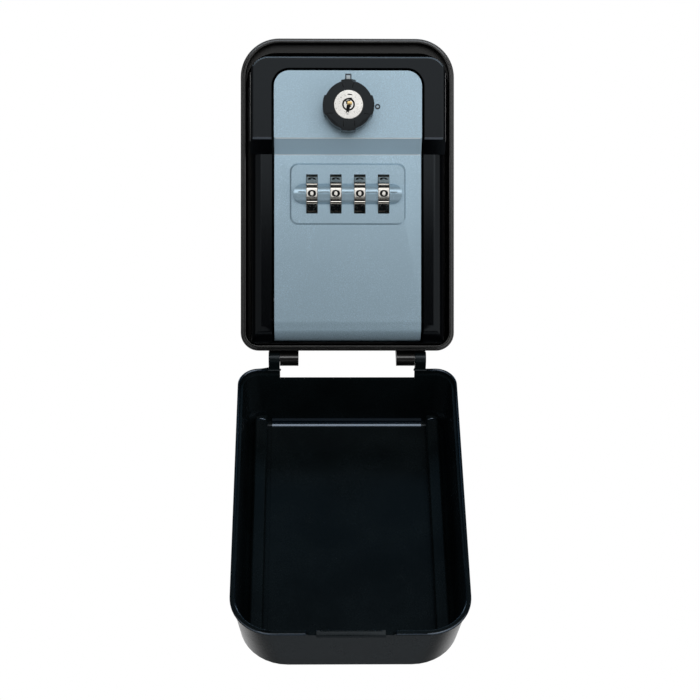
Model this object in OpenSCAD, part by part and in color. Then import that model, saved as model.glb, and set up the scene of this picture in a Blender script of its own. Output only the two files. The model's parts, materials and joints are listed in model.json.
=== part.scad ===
// Wall key safe: a wall tray with a cast body, a bottom-hinged door with a four-dial lock, and a deep
// weather cover that hangs open below. The front faces -Y, the wall is the plane y = 0, +Z is up, and the
// origin is the centre of the wall screws. Depths are measured from the wall towards the front.

/* [Tray] */
// Width of the tray
tray_w = 106.6; // [104:0.1:112]
// Height of the tray
tray_h = 156; // [152:1:170]
// Depth from the wall to the edge of the rim
tray_depth = 38; // [36:0.5:42]
// Thickness of the side walls with the rim
tray_wall = 2.75; // [2.2:0.05:3]
// Thickness of the floor
tray_floor = 3; // [2.5:0.1:4]
// Depth of the hollow behind the floor, down to the wall
tray_hollow = 6; // [4:0.5:7]
// Radius of the upper corners
tray_top_r = 19.3; // [17:0.1:21]
// Radius of the lower corners
tray_bottom_r = 9; // [6:0.5:10]
// Height of the inner tongue of the rim above its shoulder
rim_step = 2.5; // [1:0.1:3]
// Width of the shoulder outside the tongue
rim_shoulder = 1.3; // [1:0.1:1.5]

/* [Wall screws] */
// Spacing of the wall holes across
wall_hole_dx = 50; // [44:1:56]
// Spacing of the wall holes in height
wall_hole_dz = 90; // [84:1:96]
// Diameter of the wall holes
wall_hole_d = 5.5; // [4:0.1:6.5]
// Diameter of the bosses round the wall holes
wall_boss_d = 12; // [10:0.5:14]

/* [Cast body] */
// Gap between each side of the body and the tray's wall
body_gap = 2.55; // [1.5:0.05:3]
// Gap between the top of the body and the tray's outer top
body_top_drop = 12; // [10:0.5:14]
// How far the upper front stands out past the tray's rim
upper_rise = 16; // [14.5:0.5:17]
// How far the lower front stands out past the tray's rim
lower_rise = 8; // [7:0.5:9]
// Height of the slope between the two fronts
slope_h = 7; // [6:0.5:9]
// Drop from the body's top to the top of the slope
slope_drop = 40; // [39:0.5:42]
// Radius of the body's upper corners
body_corner_r = 9; // [7:0.5:12]
// Radius along the sides of the lower front
lower_edge_r = 6; // [3:0.5:8]
// Radius along the sides of the upper front
upper_edge_r = 2; // [1:0.5:4]
// Side wall of the body
body_wall = 3; // [2:0.1:4]
// Back wall of the body
body_back = 3.5; // [2.5:0.1:4]
// Thickness of the frame round the door
frame_t = 4.2; // [3.5:0.1:4.5]

/* [Door] */
// Width of the body's frame on each side of the door
frame_w = 10.5; // [10:0.05:11]
// Thickness of the door
door_t = 4; // [3.5:0.1:4.3]
// Border of the body above the door
door_border = 6.7; // [6:0.1:8]
// Radius of the door's upper corners
door_corner_r = 7.5; // [6:0.5:9]
// Radius of the rolled lower end, about the hinge
roll_r = 10; // [9:0.5:11]
// Gap round the door
door_gap = 1.25; // [0.8:0.05:1.3]
// Width of each hinge cheek
cheek_w = 6; // [4:0.5:8]
// Diameter of the door's hinge pins
door_pin_d = 4; // [3:0.5:5]

/* [Dials] */
// Height of the dial axis below the foot of the slope
dial_drop = 19.6; // [19.4:0.2:22]
// Spacing of the dials
dial_pitch = 11.8; // [11.5:0.1:12]
// Width of each dial
dial_w = 5.3; // [5:0.1:5.6]
// Radius of the dials over their corners
dial_r = 12; // [11.5:0.1:12.3]
// Depth of the dial axis behind the lower front
dial_sunk = 7; // [6.8:0.1:7.4]
// Number of digits on a dial
digits = 10; // [8:1:12]
// Radius of the tube that the dials turn on
tube_r = 3.2; // [3:0.1:3.4]
// Wall of that tube
tube_wall = 0.9; // [0.8:0.1:1]
// Width of the raised dial panel
panel_w = 55.7; // [55:0.1:58]
// Height of the raised dial panel
panel_h = 28.8; // [27:0.1:31]
// Rise of the dial panel
panel_rise = 0.8; // [0.4:0.1:1]
// Length of the half-round bar across the dials
bar_l = 53.4; // [51:0.1:54]
// Width of the half-round bar
bar_w = 10.2; // [9:0.1:11]
// Height of the half-round bar above the panel
bar_rise = 3.4; // [2.5:0.1:3.8]

/* [Knob and bolts] */
// Height of the knob's axis below the body's top
knob_drop = 25.2; // [24.8:0.2:26.2]
// Diameter of the knob over its lobes
knob_d = 25; // [23:0.5:27]
// How far the knob stands out from the door
knob_l = 14; // [12:0.5:14.5]
// How far the lobes stand out from the knob's rim
lobe_rise = 0.7; // [0.4:0.1:1]
// Width of the upper and lower lobes
lobe_w = 7; // [6:0.5:8]
// Width of the two side lobes
side_lobe_w = 9.4; // [8:0.2:11]
// Diameter of the knob's spindle in the door
spindle_d = 12; // [11:0.5:12]
// Diameter of the lock's bright face
face_d = 14.2; // [13:0.1:15]
// Diameter of the key plug
plug_d = 5.6; // [5:0.1:6]
// Travel of each bolt
bolt_travel = 5; // [4.6:0.1:5]
// Height of each bolt
bolt_h = 12; // [11:0.5:12.5]
// Thickness of each bolt
bolt_t = 3; // [2.6:0.1:3]
// Thickness of the cam disc
cam_t = 2.4; // [2:0.1:2.6]

/* [Top ledge] */
// Depth of the ledge inside the tray's top
ledge_depth = 33; // [30:0.5:35]
// How far the ledge hangs down from the tray's upper wall
ledge_drop = 5.4; // [4:0.1:6]
// Corner radius of the opening below the ledge
ledge_r = 15; // [12:0.5:16]

/* [Weather cover] */
// How far the cover stands out past the tray on each side
cover_over = 1.45; // [1.2:0.05:2]
// Outer depth of the cover
cover_depth = 38.5; // [38:0.5:43]
// Wall of the cover below its rim
cover_wall = 1.6; // [1.4:0.1:1.6]
// Height of the rim round the mouth
rim_band = 1.2; // [1:0.1:3]
// Floor of the cover
cover_floor = 3; // [2.5:0.1:3.2]
// Width of the outer lip round the cover's mouth
lip_w = 1.4; // [1:0.1:1.6]
// Draft of each long side, from the mouth to the floor
side_draft = 3.3; // [2.6:0.1:3.8]
// Lean of the free end, from the mouth to the floor
free_lean = 9; // [6:0.5:10]
// Lean of the hinge end, from the mouth to the floor
hinge_lean = 4; // [2:0.5:5]
// Corner radius at the floor's free end
floor_free_r = 22.8; // [20:0.2:26]
// Gap between each inner rib and the cover's side at the floor
rib_gap = 2.9; // [1.5:0.1:4]
// Width of each inner rib
rib_w = 6.5; // [5:0.5:7]
// Height of each inner rib
rib_h = 5.2; // [4:0.1:5.5]
// Angle of the open cover from closed
cover_open = 137.5; // [100:0.5:139]
// How far the cover's hinge lies behind its mouth
hinge_set = 4.2; // [4:0.1:4.5]
// Height of the cover's hinge below the tray
hinge_drop = 4; // [4:0.5:6]
// Radius of the hinge barrels
barrel_r = 3.6; // [3:0.1:3.6]
// Depth of the relief in the cover's rim between its arms
rim_relief = 5.5; // [4:0.5:6]
// Diameter of the cover's hinge pins
cover_pin_d = 3; // [2:0.5:3]
// Inner end of the tray's hinge lugs from the middle
lug_x = 24.5; // [20:0.5:28]
// Length of each hinge lug
lug_l = 9.2; // [8:0.1:12]
// Length of each hinge arm on the cover
arm_l = 5.5; // [4.5:0.1:7]

/* [Fits] */
// Radial gap of turning fits
run_gap = 0.05; // [0.02:0.01:0.1]
// Gap between pieces that slide past each other
slide_gap = 0.3; // [0.25:0.05:0.4]
// Radial gap of pieces that are fixed together
set_gap = 0.02; // [0.01:0.01:0.04]

/* [Hidden] */
$fn = 48;

// How far a cut runs past a face, and how far joined shapes run into each other
eps = 0.5;
fuse = 0.2;
thin = 0.02;

// Small screws and pins
screw_r = 1.25;
screw_gap = 0.15;
head_r = 2.6;
head_t = 1.5;
head_sunk = 0.3;
drive_r = 0.9;
drive_d = 0.8;
pin_stop = 1.5;

// The tray and the cast body
tray_top = tray_h / 2;
tray_bottom = -tray_h / 2;
shoulder_depth = tray_depth - rim_step;
floor_d = tray_hollow + tray_floor;
back_inner = floor_d + body_back;
upper_depth = tray_depth + upper_rise;
lower_depth = tray_depth + lower_rise;
body_w = tray_w - 2 * (tray_wall + body_gap);
body_bottom = tray_bottom + tray_wall + slide_gap;
body_top = tray_top - body_top_drop;
body_low_r = 4;
slope_top = body_top - slope_drop;
slope_bottom = slope_top - slope_h;
sill_top = body_bottom + 1.2;
sill_gap = 0.4;
body_screw_in = 10;
body_screw_x = body_w / 2 - body_screw_in;
body_screw_drop = 26;
body_screw_z = tray_top - body_screw_drop;
body_screw_seat = tray_hollow + head_t + head_sunk;
body_boss_r = 4;
body_boss_l = 8;
body_boss_front = back_inner + body_boss_l;
body_screw_tip = body_boss_front - 3;

// The door and its hinge
door_w = body_w - 2 * (frame_w + door_gap);
door_top = body_top - door_border;
door_hinge_d = lower_depth - roll_r;
door_hinge_z = sill_top + sill_gap + roll_r;
upper_back = upper_depth - door_t;
lower_back = lower_depth - door_t;
bend_lift = 1.7;
jamb_x = door_w / 2 + door_gap;
door_pin_in = 6;
hinge_boss_r = door_pin_d / 2 + 3;
sharp_r = 0.5;

// The dials and their pocket
dial_z = slope_bottom - dial_drop;
dial_axis_d = lower_depth - dial_sunk;
dial_xs = [for (i = [0:3]) (i - 1.5) * dial_pitch];
dial_notch_r = 1;
web_t = 1.4;
fin_t = 1.4;
fin_w = 2;
fin_gap = 0.3;
fin_r = 5.6;
recess_r = fin_r + 0.6;
shaft_r = tube_r - tube_wall - run_gap;
spacer_r = 5;
stack_x = dial_xs[3] + dial_w / 2;
tube_cheek_t = 2.5;
tube_cheek_h = 14;
tube_cheek_x = stack_x + 2;
tube_end_x = tube_cheek_x + tube_cheek_t;
slot_gap = 0.2;
dial_swing = dial_r + 0.4;
panel_r = 3.8;
line_w = 0.5;
line_d = 0.35;
line_end = 3.5;
leaf_t = 0.5;
leaf_l = 5;
finger_w = 3;
finger_l = 9;
pocket_wall = 1.3;
pocket_x = tube_end_x + 0.4 + pocket_wall;
pocket_up = dial_r + 1.7 + pocket_wall;
pocket_back = dial_axis_d - dial_r - 1.65 - pocket_wall;
pocket_inner = pocket_back + pocket_wall;
ear_t = 1.5;
ear_x = 18;
ear_z = pocket_up + 3.5;
ear_r = 3.5;
ear_screw_l = ear_t + 2.3;
lever_z = dial_z - dial_r + 0.4;
lever_travel = 5;
lever_l = 6;
lever_stem_r = 1.2;
lever_grip = 3.3;

// The knob, the cam and the bolts
knob_z = body_top - knob_drop;
knob_front = upper_depth + knob_l;
knob_edge = 1.2;
collar_l = 2.2;
collar_in = 2;
lock_seat = upper_depth + 2;
face_proud = 0.4;
plug_proud = 0.3;
keyway_back = upper_depth + 5;
neck_r = 4.5;
neck_bore_r = 2;
bolt_front = upper_depth - max(door_t, frame_t) - 0.5;
bolt_back = bolt_front - bolt_t;
bolt_in = 6.6;
bolt_end = door_w / 2 - 0.4;
cam_front = bolt_back - 0.9;
cam_back = cam_front - cam_t;
cam_turn = 90;
cam_pin_r = 1.5;
cam_slot_r = cam_pin_r + 0.4;
cam_in = 8.5;
cam_r = cam_in + bolt_travel + 2.4;
clip_t = 0.6;
clip_front = cam_back - 0.4;
clip_back = clip_front - clip_t;
clip_gap = 0.1;
groove_r = neck_r - 0.8;
neck_back = clip_back - 0.6;
plate_front = cam_back - 0.5;
plate_back = plate_front - 2.5;
plate_eye_r = 8;
guide_x = 21.5;
guide_l = 10;
guide_t = 2;
pad_x = 27;
pad_w = 6;
link_w = 3;
link_x = pocket_x + bolt_travel / 2;
link_foot = 4;
link_drop = 8;
cheek_back = 6.5;
post_x = 30;
post_z = 12;
low_post_x = 19.5;
low_post_z = -11;
post_r = 3;
plate_edge = 4;
plate_low = 4.5;
plate_screw_in = 6;
plate_screw_l = plate_front - plate_back + plate_screw_in;
tail_t = 1;
tail_w = 3;
tail_l = 9;

// The weather cover
mouth_d = shoulder_depth + slide_gap;
hinge_d = mouth_d - hinge_set;
hinge_z = tray_bottom - hinge_drop;
cover_w = tray_w + 2 * cover_over;
cover_free = tray_top + cover_over;
cover_end = tray_bottom - cover_over;
cover_front = mouth_d + cover_depth;
cover_fn = 40;
rim_w = cover_over + rim_shoulder - slide_gap;
rim_flange = rim_w - cover_wall;
cover_fillet = 3;
rabbet_full_z = 0;
rabbet_run = 20;
rabbet_end_z = cover_free - rabbet_run;
rib_x = cover_w / 2 - side_draft - cover_wall - rib_gap - rib_w / 2;
floor_panel_w = 2 * rib_x - rib_w - 4.5;
floor_panel_h = 0.8;
rib_r = 1.2;
arm_x = lug_x + lug_l + 0.2;
arm_foot = 9;
arm_cap = 0.8;
catch_w = 40;
catch_in = 8;
catch_tab_w = 28;
catch_tab_t = 0.4;
catch_tab_sunk = 0.2;
catch_drop = 3;
catch_cut = 1.2;
catch_foot = 0.5;

// Shared shapes

// Extrudes a front outline, x and z, from one depth to another
module slab(d0, d1) {
  translate([0, -d0, 0]) rotate([90, 0, 0]) linear_extrude(d1 - d0) children();
}

// Extrudes a side outline, given as minus depth and z, along x
module along_x(x0, x1) {
  translate([x0, 0, 0]) rotate([90, 0, 90]) linear_extrude(x1 - x0) children();
}

// The same side extrusion on both sides of the middle
module both_sides(x0, x1) {
  along_x(x0, x1) children();
  along_x(-x1, -x0) children();
}

// A round bar that points to the front, between two depths
module rod(x, z, d0, d1, r) {
  translate([x, -d0, z]) rotate([90, 0, 0]) cylinder(r = r, h = d1 - d0);
}

// A front outline with its own radius at the lower and the upper corners
module rounded(w, z0, z1, low_r, top_r) {
  translate([-w / 2, z0 + low_r]) square([w, z1 - z0 - low_r - top_r]);
  translate([-w / 2 + low_r, z0]) square([w - 2 * low_r, low_r + eps]);
  translate([-w / 2 + top_r, z1 - top_r - eps]) square([w - 2 * top_r, top_r + eps]);
  for (side = [-1, 1]) {
    translate([side * (w / 2 - low_r), z0 + low_r]) circle(low_r);
    translate([side * (w / 2 - top_r), z1 - top_r]) circle(top_r);
  }
}

// A rectangle of the front view, centred in x, from a height up
module band(w, z0, h) {
  translate([-w / 2, z0]) square([w, h]);
}

// A stadium along x
module stadium(l, r) {
  square([l - 2 * r, 2 * r], center = true);
  for (side = [-1, 1]) translate([side * (l / 2 - r), 0]) circle(r);
}

// A pan-head screw that points to the front, its head seated at depth d
module pan_screw(d, l) {
  difference() {
    rod(0, 0, d - head_t, d, head_r);
    rod(0, 0, d - head_t - eps, d - head_t + drive_d, drive_r, $fn = 6);
  }
  rod(0, 0, d, d + l, screw_r);
}

// The four corners of a rectangle about the middle
module at_corners(dx, dz) {
  for (sx = [-1, 1], sz = [-1, 1]) translate([sx * dx / 2, 0, sz * dz / 2]) children();
}

module at_wall_holes() at_corners(wall_hole_dx, wall_hole_dz) children();
module at_body_screws() at_corners(2 * body_screw_x, 2 * body_screw_z) children();
module at_pocket_ears() translate([0, 0, dial_z]) at_corners(2 * ear_x, 2 * ear_z) children();
module at_cover_hinge() translate([-hinge_d, hinge_z]) children();
module at_door_hinge() translate([-door_hinge_d, door_hinge_z]) children();
module at_dial_axis() translate([-dial_axis_d, dial_z]) children();
module at_knob() translate([0, 0, knob_z]) children();

// The tray and the cast body

module tray_outline(inset) {
  low_r = tray_bottom_r - inset;
  rounded(tray_w - 2 * inset, tray_bottom + inset, tray_top - inset, low_r, tray_top_r - inset);
}

// Side outline of a tray lug: a web from the tray's lower wall down to its barrel
module lug_profile() {
  root = tray_bottom + 0.6;
  at_cover_hinge() circle(barrel_r);
  polygon([
    [-hinge_d + 3.2 * barrel_r, root],
    [-hinge_d, root],
    [-hinge_d - barrel_r, hinge_z],
    [-hinge_d, hinge_z - barrel_r],
    [-hinge_d + 0.9 * barrel_r, hinge_z - 0.45 * barrel_r]
  ]);
}

// Side outline of the gusset behind a cover arm
module gusset_profile() {
  root = tray_bottom + 0.6;
  front = hinge_d - barrel_r - 2 * slide_gap;
  polygon([
    [-hinge_d + 3.2 * barrel_r, root],
    [-front, root],
    [-front, hinge_z + 1],
    [-front + 1.5, hinge_z + 1]
  ]);
}

module base_tray() color("#1b1c1e") difference() {
  union() {
    difference() {
      union() {
        slab(0, shoulder_depth) tray_outline(0);
        slab(0, tray_depth) tray_outline(rim_shoulder);
      }
      slab(floor_d, tray_depth + eps) tray_outline(tray_wall);
      slab(-eps, tray_hollow) tray_outline(tray_wall);
    }
    at_wall_holes() rod(0, 0, 0, floor_d, wall_boss_d / 2);
    slab(floor_d - eps, ledge_depth) difference() {
      tray_outline(tray_wall - fuse);
      rounded(tray_w - 2 * tray_wall, tray_bottom, tray_top - tray_wall - ledge_drop, sharp_r, ledge_r);
    }
    both_sides(lug_x, lug_x + lug_l) lug_profile();
    both_sides(lug_x + lug_l - eps, arm_x + arm_l) gusset_profile();
  }
  at_wall_holes() rod(0, 0, -eps, floor_d + eps, wall_hole_d / 2);
  at_body_screws() {
    rod(0, 0, tray_hollow - eps, floor_d + eps, screw_r + screw_gap);
    rod(0, 0, tray_hollow - eps, body_screw_seat, head_r + screw_gap);
  }
  both_sides(lug_x + pin_stop, lug_x + lug_l + eps) at_cover_hinge() circle(cover_pin_d / 2 + set_gap);
}

// One block of the body, with its front edges rounded along z
module front_block(z0, z1, depth, edge_r) {
  translate([0, 0, z0]) linear_extrude(z1 - z0) {
    translate([-body_w / 2, -depth + edge_r]) square([body_w, depth - edge_r - floor_d]);
    translate([-body_w / 2 + edge_r, -depth]) square([body_w - 2 * edge_r, edge_r + eps]);
    for (side = [-1, 1]) translate([side * (body_w / 2 - edge_r), -depth + edge_r]) circle(edge_r);
  }
}

// Stepped side outline of the body, rolled at its lower front
module body_profile() {
  polygon([
    [-floor_d, body_bottom],
    [-door_hinge_d, body_bottom],
    [-lower_depth, body_bottom + roll_r],
    [-lower_depth, slope_bottom],
    [-upper_depth, slope_top],
    [-upper_depth, body_top],
    [-floor_d, body_top]
  ]);
  translate([-door_hinge_d, body_bottom + roll_r]) circle(roll_r);
}

// Side outline of the space inside the body, behind its frame
module cavity_profile() {
  upper_in = upper_depth - frame_t;
  lower_in = lower_depth - frame_t;
  polygon([
    [-back_inner, sill_top],
    [-door_hinge_d + 2, sill_top],
    [-lower_in, sill_top + roll_r - 2],
    [-lower_in, slope_bottom - 1],
    [-upper_in, slope_top - 1],
    [-upper_in, body_top - body_wall],
    [-back_inner, body_top - body_wall]
  ]);
}

module safe_body() color("#232427") difference() {
  union() {
    difference() {
      intersection() {
        along_x(-body_w / 2, body_w / 2) body_profile();
        slab(0, upper_depth + eps) rounded(body_w, body_bottom, body_top, body_low_r, body_corner_r);
        union() {
          front_block(body_bottom, slope_top, lower_depth, lower_edge_r);
          front_block(slope_bottom, body_top, upper_depth, upper_edge_r);
        }
      }
      along_x(-body_w / 2 + body_wall, body_w / 2 - body_wall) cavity_profile();
    }
    both_sides(jamb_x, body_w / 2 - body_wall + eps) at_door_hinge() circle(hinge_boss_r);
    at_body_screws() rod(0, 0, back_inner - eps, body_boss_front, body_boss_r);
  }
  slab(back_inner, upper_depth + eps)
    rounded(2 * jamb_x, sill_top, door_top + door_gap, sharp_r, door_corner_r + door_gap);
  at_wall_holes() rod(0, 0, 0, back_inner + eps, wall_hole_d / 2);
  at_body_screws() rod(0, 0, 0, body_screw_tip + 1, screw_r + set_gap);
  both_sides(jamb_x - eps, jamb_x + door_pin_in) at_door_hinge() circle(door_pin_d / 2 + set_gap);
}

module body_screws() color("#b9bbbd") at_body_screws()
  pan_screw(body_screw_seat, body_screw_tip - body_screw_seat);

module cover_hinge_pins() color("#8f9294")
  both_sides(lug_x + pin_stop, arm_x + arm_l - pin_stop) at_cover_hinge() circle(cover_pin_d / 2);

module door_hinge_pins() color("#8f9294")
  both_sides(jamb_x - cheek_w + 1, jamb_x + door_pin_in - 0.5) at_door_hinge() circle(door_pin_d / 2);

// The weather cover, modelled closed and then swung open about its hinge

// Front outline of the cover's mouth, moved in by an inset
module mouth_outline(inset) {
  grow = cover_over - inset;
  rounded(cover_w - 2 * inset, cover_end + inset, cover_free - inset,
    tray_bottom_r + grow, tray_top_r + grow, $fn = cover_fn);
}

// Front outline of the cover's floor, moved in by an inset
module floor_outline(inset) {
  low = cover_end + hinge_lean + inset;
  high = cover_free - free_lean - inset;
  rounded(cover_w - 2 * (side_draft + inset), low, high,
    tray_bottom_r - inset / 2, floor_free_r - inset, $fn = cover_fn);
}

// Drafted block of the cover's form. Its mouth and its floor are moved in by their own insets, the floor
// is raised by a thickness, and a fillet may round its lower edge
module cover_block(mouth_in, floor_in, floor_t, lift, fillet) {
  hull() {
    slab(mouth_d - lift, mouth_d - lift + thin) mouth_outline(mouth_in);
    for (turn = fillet > 0 ? [0 : 30 : 90] : [90]) {
      d = cover_front - floor_t - fillet * (1 - sin(turn));
      slab(d - thin, d) floor_outline(floor_in + fillet * (1 - cos(turn)));
    }
  }
}

// Side outline of the rabbet round the mouth, which runs out towards the free end
module rabbet_profile() {
  polygon([
    [-mouth_d + 1, cover_end - 1],
    [-mouth_d - rim_step, cover_end - 1],
    [-mouth_d - rim_step, rabbet_full_z],
    [-mouth_d + eps, rabbet_end_z],
    [-mouth_d + 1, rabbet_end_z]
  ]);
}

// The notch for the catch, with its lower corners cut
module catch_notch() {
  low = cover_free - catch_in;
  hull() {
    slab(mouth_d - eps, mouth_d + catch_drop - catch_cut) band(catch_w, low, catch_in + 2);
    slab(mouth_d - eps, mouth_d + catch_drop) band(catch_w - 2 * catch_cut, low, catch_in + 2);
  }
}

// Side outline of the catch's tab, which slopes from the rim's inner edge down to the notch
module tab_profile() {
  inner = cover_free - rim_w;
  foot = -mouth_d - catch_drop - catch_foot;
  polygon([
    [-mouth_d - catch_tab_sunk, inner],
    [-mouth_d - catch_tab_sunk, inner + catch_tab_t],
    [-mouth_d - catch_drop, cover_free],
    [foot, cover_free],
    [foot, inner - catch_tab_t]
  ]);
}

// Side outline of a cover arm, from the hinge-end wall to its barrel
module arm_profile() {
  root = cover_end + rim_w / 2;
  at_cover_hinge() circle(barrel_r);
  polygon([
    [-hinge_d + 0.3 * barrel_r, hinge_z + 0.95 * barrel_r],
    [-mouth_d, root],
    [-mouth_d - arm_foot, root + 0.5],
    [-hinge_d - 0.85 * barrel_r, hinge_z - 0.5 * barrel_r]
  ]);
}

// Inner ribs along the cover's floor and the low panel between them
module cover_ribs() {
  rib_l = cover_free - cover_end;
  intersection() {
    cover_block(rim_w - eps, cover_wall - eps, cover_floor - eps, 0, 0);
    translate([0, -cover_front + cover_floor, cover_end]) {
      for (side = [-1, 1]) translate([side * rib_x, 0, 0]) {
        translate([-rib_w / 2, -eps, 0]) cube([rib_w, rib_h - rib_r + eps, rib_l]);
        translate([-rib_w / 2 + rib_r, 0, 0]) cube([rib_w - 2 * rib_r, rib_h, rib_l]);
        for (edge = [-1, 1]) translate([edge * (rib_w / 2 - rib_r), rib_h - rib_r, 0])
          cylinder(r = rib_r, h = rib_l, $fn = 24);
      }
      translate([-floor_panel_w / 2, -eps, 0]) cube([floor_panel_w, floor_panel_h + eps, rib_l]);
    }
  }
}

module closed_cover() {
  difference() {
    union() {
      difference() {
        union() {
          cover_block(rim_flange, 0, 0, 0, 0);
          slab(mouth_d, mouth_d + rim_band) mouth_outline(0);
        }
        cover_block(rim_w, cover_wall, cover_floor, thin, cover_fillet);
      }
      cover_ribs();
      both_sides(arm_x, arm_x + arm_l) arm_profile();
    }
    slab(mouth_d - eps, mouth_d + rim_step) mouth_outline(rim_w);
    intersection() {
      slab(mouth_d - eps, mouth_d + rim_step) mouth_outline(lip_w);
      along_x(-cover_w / 2, cover_w / 2) rabbet_profile();
    }
    slab(mouth_d - eps, mouth_d + rim_relief) band(2 * arm_x - slide_gap, cover_end - 1, rim_w + 3);
    catch_notch();
    both_sides(arm_x - eps, arm_x + arm_l - arm_cap) at_cover_hinge() circle(cover_pin_d / 2 + run_gap);
  }
  intersection() {
    along_x(-catch_tab_w / 2, catch_tab_w / 2) tab_profile();
    cover_block(rim_flange + fuse, fuse, 0, 0, 0);
  }
}

module weather_cover() color("#17181a") translate([0, -hinge_d, hinge_z]) rotate([cover_open, 0, 0])
  translate([0, hinge_d, -hinge_z]) closed_cover();

// The door and what it carries

// Stepped side outline of the door's plate, with its rolled lower end
module door_profile() {
  polygon([
    [-lower_back, door_hinge_z],
    [-lower_depth, door_hinge_z],
    [-lower_depth, slope_bottom],
    [-upper_depth, slope_top],
    [-upper_depth, door_top],
    [-upper_back, door_top],
    [-upper_back, slope_top + bend_lift],
    [-lower_back, slope_bottom + bend_lift]
  ]);
  intersection() {
    at_door_hinge() difference() {
      circle(roll_r);
      circle(roll_r - door_t);
    }
    translate([-door_hinge_d - roll_r, door_hinge_z - roll_r]) square([roll_r, roll_r + thin]);
  }
}

// The four posts behind the door that carry the lock plate
module at_plate_posts() {
  at_knob() for (side = [-1, 1]) {
    translate([side * post_x, 0, post_z]) children();
    translate([side * low_post_x, 0, low_post_z]) children();
  }
}

// Half-round bar across the dials, with round ends
module dial_bar() {
  bar_r = (pow(bar_w / 2, 2) + pow(bar_rise, 2)) / (2 * bar_rise);
  base_d = lower_depth + panel_rise;
  intersection() {
    along_x(-bar_l / 2, bar_l / 2) translate([-base_d - bar_rise + bar_r, dial_z]) circle(bar_r);
    slab(base_d - fuse, base_d + bar_rise + eps) translate([0, dial_z]) stadium(bar_l, bar_w / 2);
  }
}

// Guides above and below each bolt
module bolt_guides() {
  guide_z = bolt_h / 2 + slide_gap + guide_t / 2;
  at_knob() at_corners(2 * guide_x, 2 * guide_z)
    slab(bolt_back, upper_back + fuse) square([guide_l, guide_t], center = true);
}

// Side outline of the cheeks that hold the ends of the dial tube
module tube_cheek() {
  back_d = dial_axis_d - cheek_back;
  translate([-lower_back - fuse, dial_z - tube_cheek_h / 2])
    square([lower_back + fuse - back_d, tube_cheek_h]);
}

module door() color("#8fa3ae") difference() {
  line_front = lower_depth + panel_rise + bar_rise;
  union() {
    intersection() {
      along_x(-door_w / 2, door_w / 2) door_profile();
      slab(0, upper_depth + eps)
        rounded(door_w, door_hinge_z - roll_r - 1, door_top, sharp_r, door_corner_r);
    }
    both_sides(door_w / 2 - cheek_w, door_w / 2) at_door_hinge() circle(roll_r);
    slab(lower_depth - fuse, lower_depth + panel_rise) translate([0, dial_z])
      rounded(panel_w, -panel_h / 2, panel_h / 2, panel_r, panel_r);
    dial_bar();
    bolt_guides();
    both_sides(tube_cheek_x, tube_end_x) tube_cheek();
    at_plate_posts() rod(0, 0, plate_front, upper_back + fuse, post_r);
  }
  rod(0, knob_z, plate_back, upper_depth + eps, spindle_d / 2 + run_gap);
  for (x = dial_xs) along_x(x - dial_w / 2 - slot_gap, x + dial_w / 2 + slot_gap)
    at_dial_axis() circle(dial_swing);
  slab(line_front - line_d, upper_depth) translate([0, dial_z])
    square([bar_l - 2 * line_end, line_w], center = true);
  along_x(-tube_end_x - eps, tube_end_x + eps) at_dial_axis() circle(tube_r + set_gap);
  along_x(-tube_cheek_x, tube_cheek_x) at_dial_axis() circle(spacer_r + slide_gap);
  both_sides(door_w / 2 - cheek_w - eps, door_w) at_door_hinge() circle(door_pin_d / 2 + run_gap);
  at_plate_posts() rod(0, 0, plate_front - eps, upper_back + 1.5, screw_r + set_gap);
  at_pocket_ears() rod(0, 0, lower_back - eps, lower_back + 2.6, screw_r + set_gap);
}

module lock_plate() color("#9a9d9f") difference() {
  union() {
    slab(plate_back, plate_front) translate([0, knob_z]) {
      band(2 * (post_x + plate_edge), -plate_low, post_z + plate_low + plate_edge);
      band(2 * (low_post_x + plate_edge), low_post_z - plate_edge, -low_post_z);
    }
    for (side = [-1, 1]) translate([side * pad_x, 0, knob_z])
      slab(plate_front - fuse, bolt_back - slide_gap) square([pad_w, pad_w + 1], center = true);
  }
  rod(0, knob_z, plate_back - eps, plate_front + eps, plate_eye_r);
  at_plate_posts() rod(0, 0, plate_back - eps, plate_front + eps, screw_r + screw_gap);
}

module lock_plate_screws() color("#b9bbbd") at_plate_posts() pan_screw(plate_back, plate_screw_l);

// Tube that carries the dials, open along its top for the fence's fins
module dial_tube() color("#b4b6b8") translate([0, -dial_axis_d, dial_z]) rotate([0, 90, 0]) difference() {
  slot_l = 2 * tube_cheek_x - 1;
  cylinder(r = tube_r, h = 2 * tube_end_x, center = true);
  cylinder(r = shaft_r + run_gap, h = 2 * (tube_end_x + eps), center = true);
  translate([-tube_r, 0, 0]) cube([2 * tube_r, fin_w + 2 * fin_gap, slot_l], center = true);
}

// An open ring that keeps the dials apart on the tube
module spacer_ring(x0, x1) {
  l = x1 - x0;
  translate([x0, -dial_axis_d, dial_z]) rotate([0, 90, 0]) difference() {
    cylinder(r = spacer_r, h = l);
    translate([0, 0, -eps]) cylinder(r = tube_r + set_gap, h = l + 2 * eps);
    translate([-spacer_r, 0, l / 2]) cube([2 * spacer_r, fin_w + 2 * fin_gap, l + 1], center = true);
  }
}

module dial_spacers() color("#d8d8d4") {
  side_gap = dial_w / 2 + slide_gap / 2;
  for (i = [0:2]) spacer_ring(dial_xs[i] + side_gap, dial_xs[i + 1] - side_gap);
  spacer_ring(-tube_cheek_x, dial_xs[0] - side_gap);
  spacer_ring(dial_xs[3] + side_gap, tube_cheek_x);
}

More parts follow.
